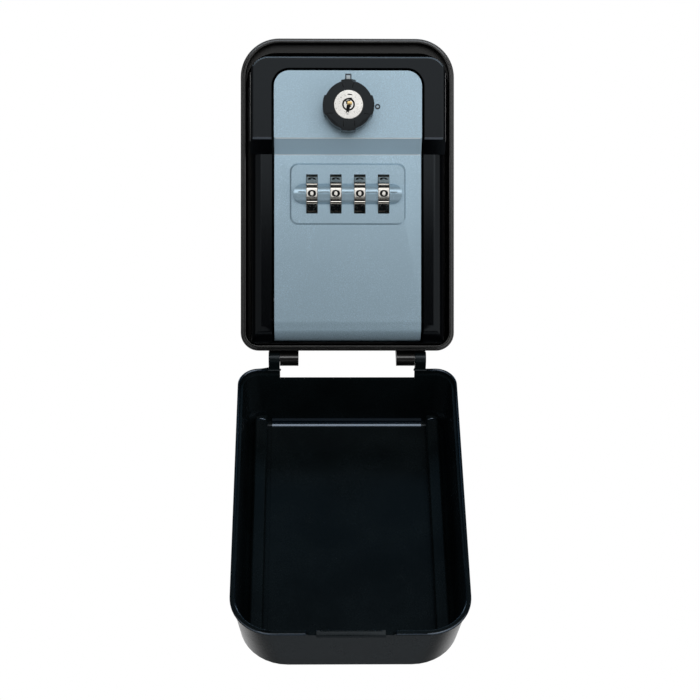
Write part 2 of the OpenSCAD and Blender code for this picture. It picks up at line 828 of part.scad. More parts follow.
// Pocket over the back of the dials, screwed to the door by four ears
module dial_cover() color("#3a3c3f") difference() {
  inner_x = pocket_x - pocket_wall;
  inner_up = pocket_up - pocket_wall;
  union() {
    slab(pocket_back, lower_back) translate([0, dial_z]) band(2 * pocket_x, -pocket_up, 2 * pocket_up);
    at_pocket_ears() slab(lower_back - ear_t, lower_back) circle(ear_r);
    slab(lower_back - ear_t, lower_back) for (side = [-1, 1])
      translate([side * ear_x, dial_z]) band(2 * ear_r, -ear_z, 2 * ear_z);
  }
  slab(pocket_inner, lower_back + eps) translate([0, dial_z]) band(2 * inner_x, -inner_up, 2 * inner_up);
  at_pocket_ears() rod(0, 0, lower_back - ear_t - eps, lower_back + eps, screw_r + screw_gap);
  along_x(-pocket_x - eps, -inner_x + eps) at_dial_axis() circle(shaft_r + 0.6);
  slab(pocket_back - eps, pocket_inner + eps) translate([0, lever_z])
    stadium(lever_l + lever_travel + 2 * slide_gap, lever_stem_r + slide_gap);
}

module dial_cover_screws() color("#b9bbbd") at_pocket_ears() pan_screw(lower_back - ear_t, ear_screw_l);

// Leaf with one finger for each dial, for the clicks
module dial_clicker() color("#c9cacb") {
  tip_d = dial_axis_d - dial_r - slide_gap / 2;
  root_d = pocket_inner + fuse;
  slab(pocket_inner, pocket_inner + leaf_t) translate([0, dial_z]) band(2 * stack_x, 4, leaf_l);
  for (x = dial_xs) {
    slab(pocket_inner, pocket_inner + leaf_t) translate([x, dial_z]) band(finger_w, -finger_l / 2, finger_l);
    along_x(x - finger_w / 2, x + finger_w / 2) translate([0, dial_z])
      polygon([[-root_d, -2], [-tip_d, -0.5], [-tip_d, 0.5], [-root_d, 2]]);
  }
}

// Lever for setting a new code, which slides in the back of the pocket
module code_lever() color("#b23a2e") translate([-lever_travel / 2, 0, lever_z]) {
  slab(pocket_back - lever_grip, pocket_back - slide_gap) stadium(lever_l + 3, lever_stem_r + 1);
  slab(pocket_back - lever_grip, pocket_inner + 1) stadium(lever_l, lever_stem_r);
  slab(pocket_inner + slide_gap, pocket_inner + 1.5) stadium(lever_l + 2, lever_stem_r + 0.6);
}

// The knob and the key lock

// Front outline of the grip: a round rim with four lobes
module knob_outline(inset) {
  circle(knob_d / 2 - lobe_rise - inset);
  intersection() {
    circle(knob_d / 2 - inset);
    union() {
      square([lobe_w, knob_d], center = true);
      square([knob_d, side_lobe_w], center = true);
    }
  }
}

// Groove round the spindle's neck for its clip
module clip_groove() {
  difference() {
    rod(0, 0, clip_back - clip_gap, clip_front + clip_gap, neck_r + eps);
    rod(0, 0, clip_back - eps, clip_front + eps, groove_r);
  }
}

module knob() color("#202124") at_knob() difference() {
  union() {
    rod(0, 0, upper_depth + slide_gap, knob_front - knob_edge, knob_d / 2 - lobe_rise - collar_in);
    slab(upper_depth + collar_l, knob_front - knob_edge) knob_outline(0);
    slab(knob_front - knob_edge - fuse, knob_front) knob_outline(knob_edge);
    rod(0, 0, bolt_front + fuse, upper_depth + slide_gap + fuse, spindle_d / 2);
    rod(0, 0, neck_back, bolt_front + 1, neck_r);
  }
  rod(0, 0, lock_seat, knob_front + eps, face_d / 2 + set_gap);
  rod(0, 0, neck_back - eps, lock_seat + eps, neck_bore_r);
  clip_groove();
}

module lock_cylinder() color("#d4d5d6") at_knob() difference() {
  rod(0, 0, lock_seat, knob_front + face_proud, face_d / 2);
  rod(0, 0, lock_seat - eps, knob_front + face_proud + eps, plug_d / 2 + run_gap);
}

module key_plug() color("#c7a45a") at_knob() difference() {
  rod(0, 0, lock_seat, knob_front + plug_proud, plug_d / 2);
  slab(keyway_back, knob_front + 1) {
    translate([0, -0.3]) square([0.9, 3.6], center = true);
    translate([0.5, -0.9]) square([1, 0.8], center = true);
  }
}

module plug_tail() color("#b7b8b9") at_knob() {
  tail_back = plate_back + fuse;
  slab(tail_back, lock_seat) square([tail_w, tail_t], center = true);
  slab(tail_back, tail_back + tail_t) square([tail_l, 2.4], center = true);
}

// Scroll slot that moves a pin outwards at a steady rate as the disc turns, with half-width w
module scroll_slot(w) {
  turns = [0:5:cam_turn];
  reach = function (a) cam_in + bolt_travel * a / cam_turn;
  outer = [for (a = turns) (reach(a) + w) * [cos(a), sin(a)]];
  inner = [for (a = turns) (reach(cam_turn - a) - w) * [cos(cam_turn - a), sin(cam_turn - a)]];
  polygon(concat(outer, inner));
  for (a = [0, cam_turn]) translate(reach(a) * [cos(a), sin(a)]) circle(w);
}

module cam_disc() color("#a3a5a7") at_knob() slab(cam_back, cam_front) difference() {
  circle(cam_r);
  circle(neck_r + set_gap);
  for (a = [0, 180]) rotate(a) scroll_slot(cam_slot_r);
}

module spindle_clip() color("#77797b") at_knob() slab(clip_back, clip_front) difference() {
  circle(neck_r + 1.6);
  circle(groove_r + clip_gap);
  band(3.2, -neck_r - 3, neck_r + 2);
}

// The bolts and the fence

// One bolt with the pin that rides in the cam's scroll slot
module bolt() {
  slab(bolt_back, bolt_front) translate([bolt_in, -bolt_h / 2]) square([bolt_end - bolt_in, bolt_h]);
  rod(cam_in, 0, cam_back + fuse, bolt_back + fuse, cam_pin_r);
}

// Side outline of the link from the left bolt down to the fence shaft
module link_profile() {
  low = knob_z - bolt_h / 2;
  front_d = lower_back - slide_gap;
  back_d = dial_axis_d - 3.5;
  polygon([
    [-bolt_front, low + 2],
    [-bolt_front, low - 1],
    [-front_d, low - link_drop],
    [-front_d, dial_z - link_foot],
    [-back_d, dial_z - link_foot],
    [-back_d, low - link_drop + 1],
    [-bolt_back, low],
    [-bolt_back, low + 2]
  ]);
}

module bolt_right() color("#b0b2b4") at_knob() bolt();

module bolt_left() color("#b0b2b4") {
  at_knob() mirror([1, 0, 0]) bolt();
  along_x(-link_x - link_w, -link_x) difference() {
    link_profile();
    at_dial_axis() circle(shaft_r + set_gap);
  }
}

// Shaft through the dials, with one fin a dial that passes the gates only when they line up
module fence_shaft() color("#c2a35b") translate([0, -dial_axis_d, dial_z]) {
  shaft_x = link_x + link_w;
  translate([-shaft_x, 0, 0]) rotate([0, 90, 0]) cylinder(r = shaft_r, h = shaft_x + tube_cheek_x);
  for (x = dial_xs) translate([x + bolt_travel / 2 - fin_t / 2, -fin_w / 2, 0]) cube([fin_t, fin_w, fin_r]);
}

// A dial: a faceted ring with a web whose gate lets the fence pass
module dial(i) {
  step = 360 / digits;
  color("#c4c6c8") translate([dial_xs[i], -dial_axis_d, dial_z]) rotate([0, 90, 0]) difference() {
    cylinder(r = dial_r, h = dial_w, center = true, $fn = digits);
    cylinder(r = tube_r + run_gap, h = dial_w + 1, center = true);
    for (end = [-1, 1]) translate([0, 0, end * (web_t + dial_w) / 2])
      cylinder(r = recess_r, h = dial_w, center = true);
    translate([-recess_r / 2, 0, 0]) cube([recess_r, fin_w + 2 * fin_gap, dial_w], center = true);
    for (k = [0:digits - 1]) rotate(k * step) translate([dial_r, 0, 0])
      cylinder(r = dial_notch_r, h = dial_w + 1, center = true);
  }
}

module dial_1() dial(0);
module dial_2() dial(1);
module dial_3() dial(2);
module dial_4() dial(3);

base_tray();
safe_body();
body_screws();
cover_hinge_pins();
door_hinge_pins();
weather_cover();
door();
lock_plate();
lock_plate_screws();
dial_tube();
dial_spacers();
dial_cover();
dial_cover_screws();
dial_clicker();
code_lever();
knob();
lock_cylinder();
cam_disc();
spindle_clip();
key_plug();
plug_tail();
bolt_left();
bolt_right();
fence_shaft();
dial_1();
dial_2();
dial_3();
dial_4();
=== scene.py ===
"""Looks for a wall key safe: a black tray and cast body, a grey door with number dials and a keyed knob,
and a deep black weather cover that hangs open below. Lengths are in metres and follow the CAD frame."""

import json
import math

import bpy
from mathutils import Matrix, Vector


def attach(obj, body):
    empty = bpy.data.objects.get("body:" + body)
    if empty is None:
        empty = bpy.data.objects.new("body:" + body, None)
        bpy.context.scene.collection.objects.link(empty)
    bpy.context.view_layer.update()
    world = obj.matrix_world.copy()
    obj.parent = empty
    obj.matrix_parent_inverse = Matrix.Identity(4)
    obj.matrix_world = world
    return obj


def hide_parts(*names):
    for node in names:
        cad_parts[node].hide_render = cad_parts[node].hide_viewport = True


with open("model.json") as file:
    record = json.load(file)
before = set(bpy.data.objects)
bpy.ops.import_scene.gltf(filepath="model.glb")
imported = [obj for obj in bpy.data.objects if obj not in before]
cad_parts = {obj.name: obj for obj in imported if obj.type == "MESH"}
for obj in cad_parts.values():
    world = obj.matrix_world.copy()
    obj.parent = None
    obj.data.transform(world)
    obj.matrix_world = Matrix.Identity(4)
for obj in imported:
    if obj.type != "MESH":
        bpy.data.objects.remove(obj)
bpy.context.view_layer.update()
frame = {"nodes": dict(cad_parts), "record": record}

MM = 0.001

# Places that the pieces share with the CAD frame
KNOB_Z = 40.8 * MM
KNOB_FRONT = 68 * MM
KNOB_EDGE = 1.2 * MM
KNOB_FRONT_R = 11.5 * MM
LOCK_FRONT = 68.4 * MM
PLUG_FRONT = 68.3 * MM
UPPER_FRONT = 54 * MM
LOWER_FRONT = 46 * MM
STEP_TOP = 26 * MM
STEP_FOOT = 19 * MM
PANEL_W = 55.7 * MM
PANEL_H = 28.8 * MM
PANEL_R = 3.8 * MM
PANEL_SLANT = 0.8 * MM
TRAY_FRONT = 38 * MM
TRAY_SHOULDER = 35.5 * MM
BLOCK_SIDE = 39 * MM
BLOCK_CORNER_Z = 57 * MM
BLOCK_R = 9 * MM
SLOT_W = 5.6 * MM
SLOT_H = 20.6 * MM
LEDGE_FRONT = 33 * MM
LEDGE_SIDE = 34 * MM
LEDGE_CORNER_Z = 58.7 * MM
LEDGE_WALL_R = 16.55 * MM
BAR_FRONT = 50.2 * MM
DIAL_Z = -0.6 * MM
DIAL_Y = -39 * MM
DIAL_R = 12 * MM
DIAL_PITCH = 11.8 * MM
DIAL_FLAT = DIAL_R * math.cos(math.radians(18))
COVER_HINGE = Vector((0, -31.6 * MM, -82 * MM))
COVER_OPEN = math.radians(137.5)
COVER_RIM = 35.8 * MM
COVER_ARMS_Z = -80 * MM
COVER_RIB_X = 43.65 * MM

# How far a point may be from a level and still count as on it
ON_LEVEL = 0.05 * MM
BY_LEVEL = 0.1 * MM

# Rounded edges and small forms that the looks add
TRAY_ROUND = 0.45 * MM
BLOCK_ROUND = 0.6 * MM
BODY_STEP_ROUND = 0.6 * MM
DOOR_STEP_ROUND = 0.8 * MM
RIM_ROUND = 0.6 * MM
LEDGE_LIFT = 1.2 * MM
RING_FLATNESS = 0.4
SHARP_EDGE = math.radians(25)

# Forms in the cover. A block is two opposite corners on the shut cover, in millimetres
COVE_BLOCK = ((-38.2, -72.2, -75), (38.2, -68.3, -70.1))
COVE_HOLLOW = 2.2 * MM
ARCH_RADIUS = 2.9 * MM
ARCH_THICKNESS = 0.5 * MM
ARCH_FRONT = 68.6 * MM
ARCH_Z = -71.4 * MM
TAB_BLOCK = ((-15.6, -39.4, 77.05), (15.6, -36, 79.3))
TAB_SLANT = 1.2 * MM

# Dials and their digits
DIALS = range(1, 5)
DIAL_STEP = math.radians(36)
NOTCH_WIDTH = 0.58 * MM
NOTCH_DEPTH = 0.5 * MM
NOTCH_SHARE = 0.045
DIGIT_SIZE = 4.5 * MM
DIGIT_BOLDNESS = 0.12 * MM
DIGIT_RISE = 0.03 * MM
DIGIT_WIDENING = 1.85

# Camera of the photograph
PHOTO_EYE = (-0.0150, -0.9594, -0.0757)
PHOTO_TURN = (math.radians(89.88), 0, math.radians(-1.01))
PHOTO_WIDTH_PX = 700
PHOTO_FOCAL_PX = 1848.7
SENSOR_MM = 36

# Surface texture of the paint and the plastic
PAINT_SPARKLE = 0.06
PAINT_PEEL = 0.00003
PLASTIC_MOTTLE = 0.25


# Shader maths


class Shade:
    """A number inside a finish. Python's own signs on it add Math nodes."""

    def __init__(self, finish, socket):
        self.finish = finish
        self.socket = socket

    def maths(self, operation, first, second):
        node = self.finish.node("ShaderNodeMath", {"operation": operation}, {0: first, 1: second})
        return Shade(self.finish, node.outputs[0])

    def __add__(self, other):
        return self.maths("ADD", self, other)

    def __radd__(self, other):
        return self.maths("ADD", other, self)

    def __sub__(self, other):
        return self.maths("SUBTRACT", self, other)

    def __rsub__(self, other):
        return self.maths("SUBTRACT", other, self)

    def __mul__(self, other):
        return self.maths("MULTIPLY", self, other)

    def rise(self, low, high):
        """0 below low, 1 above high, and a smooth step between."""
        settings = {"interpolation_type": "SMOOTHSTEP"}
        sockets = {"Value": self, "From Min": low, "From Max": high}
        node = self.finish.node("ShaderNodeMapRange", settings, sockets)
        return Shade(self.finish, node.outputs["Result"])


class Finish:
    """The nodes of one material or of the world."""

    def __init__(self, name, owner=None):
        self.owner = owner or bpy.data.materials.new(name)
        self.owner.use_nodes = True
        self.tree = self.owner.node_tree
        self.tree.nodes.clear()

    def node(self, kind, settings=None, sockets=None):
        node = self.tree.nodes.new(kind)
        for key, value in (settings or {}).items():
            setattr(node, key, value)
        for key, value in (sockets or {}).items():
            if isinstance(value, Shade):
                self.tree.links.new(value.socket, node.inputs[key])
            elif isinstance(value, bpy.types.NodeSocket):
                self.tree.links.new(value, node.inputs[key])
            else:
                node.inputs[key].default_value = value
        return node

    def place(self, stretch=(1, 1, 1)):
        """Object coordinates, stretched along the axes."""
        spot = self.node("ShaderNodeTexCoord").outputs["Object"]
        return self.node("ShaderNodeMapping", None, {"Vector": spot, "Scale": stretch}).outputs["Vector"]

    def noise(self, scale, detail=2.0, roughness=0.5, stretch=(1, 1, 1)):
        sockets = {"Vector": self.place(stretch), "Scale": scale, "Detail": detail, "Roughness": roughness}
        return Shade(self, self.node("ShaderNodeTexNoise", None, sockets).outputs[0])

    def cells(self, scale):
        sockets = {"Vector": self.place(), "Scale": scale}
        return Shade(self, self.node("ShaderNodeTexVoronoi", None, sockets).outputs["Distance"])

    def mix(self, share, low, high):
        """A colour between two colours."""
        settings = {"data_type": "RGBA"}
        node = self.node("ShaderNodeMix", settings, {0: share, 6: low, 7: high})
        return node.outputs[2]

    def bump(self, height, depth, strength):
        sockets = {"Height": height, "Distance": depth, "Strength": strength}
        return self.node("ShaderNodeBump", None, sockets).outputs["Normal"]

    def surface(self, sockets):
        shader = self.node("ShaderNodeBsdfPrincipled", None, sockets)
        self.node("ShaderNodeOutputMaterial", None, {"Surface": shader.outputs[0]})
        return self

    def on(self, piece):
        piece.data.materials.clear()
        piece.data.materials.append(self.owner)
        return piece


def shade(colour, factor):
    return (colour[0] * factor, colour[1] * factor, colour[2] * factor, 1)


# Finishes


def moulded(name, colour, rough, grain=0.00001, specular=0.5, tint=(1, 1, 1), polish=0.0):
    """Moulded plastic: a fine grain, cloudy gloss, a little dust and any polish from rubbing."""
    finish = Finish(name)
    skin = finish.noise(2600, 3, 0.6)
    cloud = finish.noise(38, 4, 0.6)
    rub = finish.noise(90, 5, 0.7, (1, 1, 0.15))
    dust = 1 - finish.cells(420).rise(0.02, 0.07)
    speck = dust * finish.noise(60, 2).rise(0.55, 0.75)
    dark = shade(colour, 1 - PLASTIC_MOTTLE)
    light = shade(colour, 1 + PLASTIC_MOTTLE)
    tone = finish.mix(cloud.rise(0.3, 0.7), dark, light)
    dusty = finish.mix(speck * 0.3, tone, (0.12, 0.12, 0.125, 1))
    gloss = rough + (cloud - 0.5) * 0.14 + (skin - 0.5) * 0.08 + rub.rise(0.55, 0.8) * 0.06
    return finish.surface({
        "Base Color": dusty,
        "Roughness": gloss,
        "Specular IOR Level": specular,
        "Specular Tint": shade(tint, 1),
        "Coat Weight": polish,
        "Coat IOR": 2.0,
        "Coat Roughness": 0.12,
        "Coat Tint": shade(tint, 1),
        "Normal": finish.bump(skin, grain, 0.5),
    })


def painted(name, colour, rough, specular=0.5, metallic=0.0, tint=(1, 1, 1)):
    """Sprayed paint on a casting: orange peel, fine flakes and faint wear."""
    finish = Finish(name)
    flake = finish.cells(5200)
    wave = finish.noise(650, 2)
    cloud = finish.noise(22, 3)
    rub = finish.noise(55, 5, 0.72, (1, 1, 0.3)).rise(0.62, 0.85)
    shine = flake.rise(0.25, 0.75) * 0.6 + cloud * 0.4
    tone = finish.mix(shine, shade(colour, 1 - PAINT_SPARKLE), shade(colour, 1 + PAINT_SPARKLE))
    worn = finish.mix(rub * 0.15, tone, shade(colour, 1.25))
    return finish.surface({
        "Base Color": worn,
        "Roughness": rough + (flake - 0.5) * 0.06 + rub * 0.05 + (cloud - 0.5) * 0.05,
        "Metallic": metallic,
        "Specular IOR Level": specular,
        "Specular Tint": shade(tint, 1),
        "Normal": finish.bump(wave * 0.8 + flake * 0.2, PAINT_PEEL, 0.3),
    })


def plated(name, colour, rough, scratched=0.06, pitted=0.1):
    """Bright plating with hairline scratches, faint stains and dark pits."""
    finish = Finish(name)
    hair = finish.noise(700, 3, 0.6, (1, 1, 14)).rise(0.58, 0.72)
    cross = finish.noise(600, 3, 0.6, (12, 1, 1)).rise(0.6, 0.74)
    stain = finish.noise(160, 4)
    pit = finish.noise(1300, 3, 0.6).rise(0.56, 0.68)
    tone = finish.mix(stain.rise(0.35, 0.75), shade(colour, 0.9), shade(colour, 1.06))
    pocked = finish.mix(pit * pitted, tone, shade(colour, 0.2))
    return finish.surface({
        "Base Color": pocked,
        "Metallic": 1.0,
        "Roughness": rough + hair * scratched + cross * scratched + (stain - 0.5) * 0.06,
        "Normal": finish.bump(hair + cross, 0.000004, 0.4),
    })


def rolled(name, colour, rough):
    """Plated steel with the streaks of its rolling."""
    finish = Finish(name)
    streak = finish.noise(420, 4, 0.65, (1, 9, 9))
    stain = finish.noise(45, 4)
    tone = finish.mix(streak * 0.6 + stain * 0.4, shade(colour, 0.82), shade(colour, 1.12))
    return finish.surface({
        "Base Color": tone,
        "Metallic": 1.0,
        "Roughness": rough + (streak - 0.5) * 0.2 + (stain - 0.5) * 0.1,
        "Normal": finish.bump(streak, 0.00001, 0.5),
    })


BLUISH = (0.82, 0.92, 1.0)
DOOR_GREY = (0.44, 0.605, 0.72)
FINISHES = {
    "tray": moulded("tray_plastic", (0.004, 0.004, 0.0036), 0.34, specular=0.33),
    "casting": painted("casting_paint", (0.0012, 0.0015, 0.0022), 0.15, specular=0.27, tint=BLUISH),
    "door": painted("door_paint", DOOR_GREY, 0.26, metallic=0.36, specular=0.4),
    "cover": moulded("cover_plastic", (0.0034, 0.006, 0.007), 0.26, 0.000006, specular=0.3, tint=BLUISH),
    "grip": moulded("grip_plastic", (0.002, 0.0026, 0.003), 0.24, 0.000006, specular=0.34, tint=BLUISH),
    "bright": plated("bright_plating", (0.76, 0.75, 0.72), 0.16, pitted=0.6),
    "dials": plated("dial_plating", (0.68, 0.66, 0.62), 0.05, 0.03),
    "core": plated("core_brass", (0.62, 0.45, 0.2), 0.24),
    "steel": rolled("zinc_steel", (0.52, 0.53, 0.54), 0.34),
    "lever": moulded("lever_plastic", (0.42, 0.035, 0.03), 0.42),
    "pocket": moulded("pocket_plastic", (0.035, 0.037, 0.04), 0.48),
    "spacer": moulded("spacer_plastic", (0.62, 0.62, 0.58), 0.5),
}

# Finishes for parts of a piece
SEA_BLUE = (0.4, 0.72, 1.0)
STEEL_BLUE = (0.6, 0.82, 1.0)
COVER_POLISH = moulded("cover_polish", (0.003, 0.006, 0.008), 0.2, 0, 1.0, SEA_BLUE, 1.0)
BODY_POLISH = moulded("body_polish", (0.002, 0.003, 0.004), 0.24, 0, 0.8, STEEL_BLUE, 0.4)
TRAY_POLISH = moulded("tray_polish", (0.004, 0.004, 0.0036), 0.26, 0, specular=0.8, polish=0.4)
# Paler paints on the rounded edges of the step across the body and the door: painted highlights
BODY_STEP_HIGHLIGHT = painted("body_step_painted_highlight", (0.07, 0.085, 0.105), 0.3)
DOOR_STEP_HIGHLIGHT = painted("door_step_painted_highlight", (0.88, 0.95, 0.98), 0.3, specular=0.5)
# The door paint without its metal, which renders lighter on the step's downward slope: painted light
STEP_PAINTED_LIGHT = painted("door_step_painted_light", DOOR_GREY, 0.34, specular=0.4)
# Near-black on the inner walls of the dial slots: painted shade
SLOT_SHADE = moulded("slot_shade", (0.012, 0.013, 0.014), 0.55, specular=0.2)
MARK_PAINT = moulded("mark_paint", (0.02, 0.03, 0.04), 0.4)
PALE_PAINT = painted("mark_fill_paint", (0.62, 0.7, 0.74), 0.4)
BLACK_PINS = rolled("blackened_steel", (0.012, 0.012, 0.013), 0.45)
# Black ink for the digits and the seams, also laid in the dial notches, the keyway and the gaps round the
# plug as painted shade
INK_AND_PAINTED_SHADE = moulded("dial_ink_and_painted_shade", (0.003, 0.003, 0.0035), 0.5, specular=0.15)


# Modelling helpers


def alone(piece):
    """Selects one piece and nothing else."""
    bpy.ops.object.select_all(action="DESELECT")
    piece.select_set(True)
    bpy.context.view_layer.objects.active = piece


def settle(piece, name, body, slot, finish=None):
    """Applies a piece's place, names it, gives it its finish and lets it ride on a body."""
    alone(piece)
    bpy.ops.object.transform_apply(location=True, rotation=True, scale=True)
    piece.name = name
    (finish or FINISHES[slot]).on(piece)
    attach(piece, body)


def smooth(piece, angle=35):
    """Shades a piece smooth, apart from edges sharper than an angle."""
    alone(piece)
    bpy.ops.object.shade_smooth_by_angle(angle=math.radians(angle))
    return piece


def finished(piece, kind, **settings):
    """Adds a modifier with its settings and applies it."""
    alone(piece)
    modifier = piece.modifiers.new(kind.lower(), kind)
    for key, value in settings.items():
        setattr(modifier, key, value)
    bpy.ops.object.modifier_apply(modifier=modifier.name)


def merged(node, name):
    """A copy of a CAD node with its triangles merged into whole faces."""
    source = frame["nodes"][node]
    piece = bpy.data.objects.new(name, source.data.copy())
    bpy.context.scene.collection.objects.link(piece)
    alone(piece)
    bpy.ops.mesh.customdata_custom_splitnormals_clear()
    bpy.ops.object.mode_set(mode="EDIT")
    bpy.ops.mesh.select_all(action="SELECT")
    bpy.ops.mesh.remove_doubles(threshold=0.000002)
    bpy.ops.mesh.dissolve_limited(angle_limit=math.radians(0.4))
    bpy.ops.object.mode_set(mode="OBJECT")
    return piece


def eased(piece, node, width, segments=3, steep=32):
    """Rounds the sharp edges of a node's copy, which then stands for the node."""
    limit = math.radians(steep)
    finished(piece, "BEVEL", width=width, segments=segments, limit_method="ANGLE", angle_limit=limit)
    smooth(piece, 38)
    finished(piece, "WEIGHTED_NORMAL", keep_sharp=True)
    settle(piece, piece.name, BODY_OF[node], SLOT_OF[node])
    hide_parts(node)


def dressed(piece, finish, wanted):
    """Gives the wanted faces of a finished piece one more finish."""
    layer = len(piece.data.materials)
    piece.data.materials.append(finish.owner)
    for face in piece.data.polygons:
        if wanted(face):
            face.material_index = layer


def pick(piece, wanted, kind="VERT"):
    """Goes into edit mode with only the wanted vertices, edges or faces selected."""
    alone(piece)
    bpy.ops.object.mode_set(mode="EDIT")
    bpy.ops.mesh.select_mode(type=kind)
    bpy.ops.mesh.select_all(action="DESELECT")
    bpy.ops.object.mode_set(mode="OBJECT")
    parts = {"VERT": piece.data.vertices, "EDGE": piece.data.edges, "FACE": piece.data.polygons}[kind]
    for part in parts:
        part.select = wanted(part)
    bpy.ops.object.mode_set(mode="EDIT")


def sharp_edges(piece):
    """The ends of the edges between two faces that meet at an angle."""
    normals = {}
    for face in piece.data.polygons:
        for key in face.edge_keys:
            normals.setdefault(key, []).append(face.normal.copy())
    limit = math.cos(SHARP_EDGE)
    pairs = {key: pair for key, pair in normals.items() if len(pair) == 2}
    return {key for key, pair in pairs.items() if pair[0].dot(pair[1]) < limit}


def rounded(piece, on_level, width):
    """Rounds the sharp edges whose two ends are on a level."""
    marked = [on_level(vertex.co) for vertex in piece.data.vertices]

    def within(part):
        return all(marked[i] for i in part.vertices)

    pick(piece, within, "FACE")
    bpy.ops.mesh.quads_convert_to_tris(quad_method="BEAUTY", ngon_method="BEAUTY")
    bpy.ops.object.mode_set(mode="OBJECT")
    sharp = sharp_edges(piece)
    pick(piece, lambda edge: within(edge) and tuple(sorted(edge.vertices)) in sharp, "EDGE")
    bpy.ops.mesh.bevel(offset=width, segments=4, affect="EDGES")
    bpy.ops.object.mode_set(mode="OBJECT")


def joined(pieces):
    """Joins pieces into the first of them."""
    alone(pieces[0])
    for piece in pieces:
        piece.select_set(True)
    bpy.ops.object.join()
    return bpy.context.object


def bar(start, end, width, front, rise):
    """A low rounded bar on a front face, between two points across and up."""
    across = end[0] - start[0]
    up = end[1] - start[1]
    middle = ((start[0] + end[0]) / 2, -front, (start[1] + end[1]) / 2)
    size = (math.hypot(across, up), 2 * rise, width)
    turn = (0, -math.atan2(up, across), 0)
    bpy.ops.object.select_all(action="DESELECT")
    bpy.ops.mesh.primitive_cube_add(size=1, location=middle, rotation=turn, scale=size)
    piece = bpy.context.object
    bpy.ops.object.transform_apply(location=True, rotation=True, scale=True)
    bpy.ops.object.mode_set(mode="EDIT")
    bpy.ops.mesh.bevel(offset=0.4 * min(rise, width), segments=2, affect="EDGES")
    bpy.ops.object.mode_set(mode="OBJECT")
    return smooth(piece)


def ring(centre, radius, thick, front):
    """A low round ring on a front face."""
    place = (centre[0], -front, centre[1])
    bpy.ops.object.select_all(action="DESELECT")
    bpy.ops.mesh.primitive_torus_add(
        location=place,
        rotation=(math.radians(90), 0, 0),
        major_radius=radius,
        minor_radius=thick / 2,
        major_segments=48,
        minor_segments=10,
    )
    piece = bpy.context.object
    piece.scale = (1, 1, RING_FLATNESS)
    bpy.ops.object.transform_apply(location=True, rotation=True, scale=True)
    return smooth(piece)


# The frame's own nodes

SLOT_OF = {row["node"]: row["material_slot"] for row in frame["record"]["subparts"]}
BODY_OF = {node: body for body, nodes in frame["record"]["behaviour"]["bodies"].items() for node in nodes}

for node, piece in frame["nodes"].items():
    FINISHES[SLOT_OF[node]].on(piece)


def step_edge(point):
    """Whether a point is on the upper or the lower edge of the step across the front."""
    upper = abs(point.y + UPPER_FRONT) < BY_LEVEL and abs(point.z - STEP_TOP) < BY_LEVEL
    lower = abs(point.y + LOWER_FRONT) < BY_LEVEL and abs(point.z - STEP_FOOT) < BY_LEVEL
    return upper or lower


def upper_step_edge(point):
    """Whether a point is on the upper edge of the step alone."""
    return step_edge(point) and point.z > STEP_FOOT + MM


def step_wear(face):
    """Whether a face is on the rounded edges of the step, where a paler paint is laid on as a painted
    highlight.
    """
    deep = 0.7 * MM
    high = 0.9 * MM
    spot = face.center
    upper = abs(spot.y + UPPER_FRONT) < deep and abs(spot.z - STEP_TOP) < high
    lower = abs(spot.y + LOWER_FRONT) < deep and abs(spot.z - STEP_FOOT) < high
    return (upper or lower) and -0.998 < face.normal.y < -0.7 and face.normal.z < -0.05


def rubbed_slant(face):
    """Whether a face slants between the front and the side, as a rounded edge does."""
    return -0.99 < face.normal.y < -0.1


def dial_x(number):
    """Where the middle of a dial is, across the front."""
    return (number - 2.5) * DIAL_PITCH


def tray_shell():
    """The tray, with the lip of its top ledge drawn up a little and its rim rubbed bright."""
    piece = merged("base_tray", "tray_shell")

    def lip(vertex):
        beside = max(abs(vertex.co.x) - LEDGE_SIDE, 0)
        above = vertex.co.z - LEDGE_CORNER_Z
        inside = LEDGE_WALL_R - math.hypot(beside, above) > 0.3 * MM
        return abs(vertex.co.y + LEDGE_FRONT) < ON_LEVEL and above > 0 and inside

    pick(piece, lip)
    bpy.ops.transform.translate(value=(0, 0, LEDGE_LIFT))
    bpy.ops.object.mode_set(mode="OBJECT")
    for front in (TRAY_FRONT, TRAY_SHOULDER):
        rounded(piece, lambda point: abs(point.y + front) < ON_LEVEL, TRAY_ROUND)
    eased(piece, "base_tray", 0.3 * MM)

    def rubbed(face):
        depth = face.center.y
        level = min(depth + TRAY_FRONT, abs(depth + TRAY_SHOULDER)) < 0.48 * MM
        return level and rubbed_slant(face)

    dressed(piece, TRAY_POLISH, rubbed)


def cast_body():
    """The cast body, with the outer edge of its upper block rubbed bright."""
    piece = merged("safe_body", "cast_body")

    def outer(point):
        above = point.z - BLOCK_CORNER_Z
        return above > 0 and math.hypot(max(abs(point.x) - BLOCK_SIDE, 0), above) > BLOCK_R - MM

    def outer_edge(point):
        return outer(point) and abs(point.y + UPPER_FRONT) < BY_LEVEL

    rounded(piece, outer_edge, BLOCK_ROUND)
    rounded(piece, upper_step_edge, BODY_STEP_ROUND)
    eased(piece, "safe_body", 0.6 * MM)

    def rubbed(face):
        level = face.center.y < -UPPER_FRONT + 0.7 * MM
        return outer(face.center) and level and rubbed_slant(face)

    dressed(piece, BODY_POLISH, rubbed)
    # A paler paint on the body's step edges: a painted highlight
    dressed(piece, BODY_STEP_HIGHLIGHT, step_wear)


